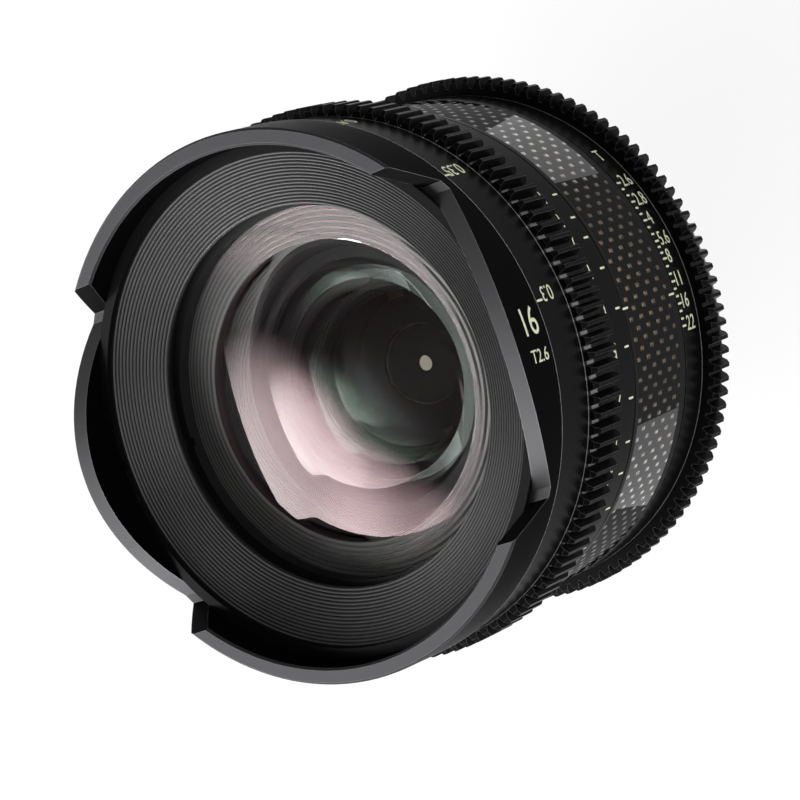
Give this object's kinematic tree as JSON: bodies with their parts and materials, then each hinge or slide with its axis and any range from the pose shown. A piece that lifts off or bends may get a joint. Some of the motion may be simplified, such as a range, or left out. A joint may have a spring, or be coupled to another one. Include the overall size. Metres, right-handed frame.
{
  "type": "cinema prime lens",
  "caption": "Wide cinema prime lens with a four-petal hood, toothed focus and iris rings, a carbon-fibre band, a bladed iris, a sliding focus group and a lobed flange mount.",
  "frame": {"origin": "centre of the mount's flange seat, on the lens axis", "axes": "+Z along the lens axis towards the front, +X to the side with the focal length marks, +Y to the top of the lens"},
  "size_m": [0.0976, 0.0976, 0.1034],
  "materials": {
    "anodised_black": "black anodised, satin",
    "hood_black": "black anodised, satin with paler rim faces",
    "ring_black": "black anodised, semi-gloss",
    "baffle_black": "matte black with fine ribs",
    "trap_grey": "grooved, dull grey under coated glass",
    "carbon": "clear-coated carbon-fibre weave",
    "glass": "coated optical glass",
    "mount_steel": "bright stainless steel",
    "screw_steel": "plain steel",
    "bronze": "turned bronze",
    "polymer": "plain bearing polymer",
    "blade_black": "matte black"
  },
  "bodies": {
    "barrel": {"petal_hood": "hood_black", "hood_screws": "screw_steel", "hood_retainer": "anodised_black", "ribbed_baffle": "baffle_black", "front_cell": "anodised_black", "light_trap_ring": "trap_grey", "front_element": "glass", "front_element_retainer": "anodised_black", "second_element": "glass", "second_element_retainer": "anodised_black", "main_barrel": "anodised_black", "carbon_sleeve": "carbon", "focus_slide_ring_front": "polymer", "focus_slide_ring_rear": "polymer", "iris_slide_ring": "polymer", "iris_housing": "anodised_black", "iris_retainer": "anodised_black", "iris_housing_screws": "screw_steel", "rear_cell": "anodised_black", "rear_cell_screws": "screw_steel", "fifth_element": "glass", "rear_spacer_front": "anodised_black", "sixth_element": "glass", "rear_spacer_rear": "anodised_black", "rear_element": "glass", "rear_cell_retainer": "anodised_black", "rear_barrel": "anodised_black", "mount_shim": "mount_steel", "lens_mount": "mount_steel", "mount_screws": "screw_steel", "rear_baffle": "baffle_black"},
    "focus": {"focus_ring": "ring_black", "focus_cam_sleeve": "bronze"},
    "focus_group": {"focus_cell": "anodised_black", "focus_followers": "screw_steel", "third_element": "glass", "focus_spacer": "anodised_black", "fourth_element": "glass", "focus_cell_retainer": "anodised_black"},
    "iris": {"iris_ring": "ring_black", "iris_link": "screw_steel", "iris_cam_ring": "bronze"},
    "blade_01": {"blade_01": "blade_black"},
    "blade_02": {"blade_02": "blade_black"},
    "blade_03": {"blade_03": "blade_black"},
    "blade_04": {"blade_04": "blade_black"},
    "blade_05": {"blade_05": "blade_black"},
    "blade_06": {"blade_06": "blade_black"},
    "blade_07": {"blade_07": "blade_black"},
    "blade_08": {"blade_08": "blade_black"},
    "blade_09": {"blade_09": "blade_black"},
    "blade_10": {"blade_10": "blade_black"},
    "blade_11": {"blade_11": "blade_black"}
  },
  "joints": [
    {"name": "focus_turn", "type": "hinge", "parent": "barrel", "child": "focus", "pos_m": [0, 0, 0.065], "axis": [0, 0, 1], "range_deg": [-190, 10]},
    {"name": "focus_slide", "type": "slide", "parent": "barrel", "child": "focus_group", "axis": [0, 0, 1], "range_m": [-0.00665, 0.00035]},
    {"name": "iris_turn", "type": "hinge", "parent": "barrel", "child": "iris", "pos_m": [0, 0, 0.027], "axis": [0, 0, 1], "range_deg": [-28, 7]},
    {"name": "blade_01_swing", "type": "hinge", "parent": "barrel", "child": "blade_01", "pos_m": [0.0134, 0, 0.0253], "axis": [0, 0, 1], "range_deg": [-23.16, 5.79]},
    {"name": "blade_02_swing", "type": "hinge", "parent": "barrel", "child": "blade_02", "pos_m": [0.01127, 0.00724, 0.0253], "axis": [0, 0, 1], "range_deg": [-23.16, 5.79]},
    {"name": "blade_03_swing", "type": "hinge", "parent": "barrel", "child": "blade_03", "pos_m": [0.00557, 0.01219, 0.0253], "axis": [0, 0, 1], "range_deg": [-23.16, 5.79]},
    {"name": "blade_04_swing", "type": "hinge", "parent": "barrel", "child": "blade_04", "pos_m": [-0.00191, 0.01326, 0.0253], "axis": [0, 0, 1], "range_deg": [-23.16, 5.79]},
    {"name": "blade_05_swing", "type": "hinge", "parent": "barrel", "child": "blade_05", "pos_m": [-0.00878, 0.01013, 0.0253], "axis": [0, 0, 1], "range_deg": [-23.16, 5.79]},
    {"name": "blade_06_swing", "type": "hinge", "parent": "barrel", "child": "blade_06", "pos_m": [-0.01286, 0.00378, 0.0253], "axis": [0, 0, 1], "range_deg": [-23.16, 5.79]},
    {"name": "blade_07_swing", "type": "hinge", "parent": "barrel", "child": "blade_07", "pos_m": [-0.01286, -0.00378, 0.0253], "axis": [0, 0, 1], "range_deg": [-23.16, 5.79]},
    {"name": "blade_08_swing", "type": "hinge", "parent": "barrel", "child": "blade_08", "pos_m": [-0.00878, -0.01013, 0.0253], "axis": [0, 0, 1], "range_deg": [-23.16, 5.79]},
    {"name": "blade_09_swing", "type": "hinge", "parent": "barrel", "child": "blade_09", "pos_m": [-0.00191, -0.01326, 0.0253], "axis": [0, 0, 1], "range_deg": [-23.16, 5.79]},
    {"name": "blade_10_swing", "type": "hinge", "parent": "barrel", "child": "blade_10", "pos_m": [0.00557, -0.01219, 0.0253], "axis": [0, 0, 1], "range_deg": [-23.16, 5.79]},
    {"name": "blade_11_swing", "type": "hinge", "parent": "barrel", "child": "blade_11", "pos_m": [0.01127, -0.00724, 0.0253], "axis": [0, 0, 1], "range_deg": [-23.16, 5.79]}
  ],
  "couplings": [
    {"joint": "focus_slide", "follows": "focus_turn", "m_per_rad": 0.0020053},
    {"joint": "blade_01_swing", "follows": "iris_turn", "ratio": 0.82729},
    {"joint": "blade_02_swing", "follows": "iris_turn", "ratio": 0.82729},
    {"joint": "blade_03_swing", "follows": "iris_turn", "ratio": 0.82729},
    {"joint": "blade_04_swing", "follows": "iris_turn", "ratio": 0.82729},
    {"joint": "blade_05_swing", "follows": "iris_turn", "ratio": 0.82729},
    {"joint": "blade_06_swing", "follows": "iris_turn", "ratio": 0.82729},
    {"joint": "blade_07_swing", "follows": "iris_turn", "ratio": 0.82729},
    {"joint": "blade_08_swing", "follows": "iris_turn", "ratio": 0.82729},
    {"joint": "blade_09_swing", "follows": "iris_turn", "ratio": 0.82729},
    {"joint": "blade_10_swing", "follows": "iris_turn", "ratio": 0.82729},
    {"joint": "blade_11_swing", "follows": "iris_turn", "ratio": 0.82729}
  ]
}
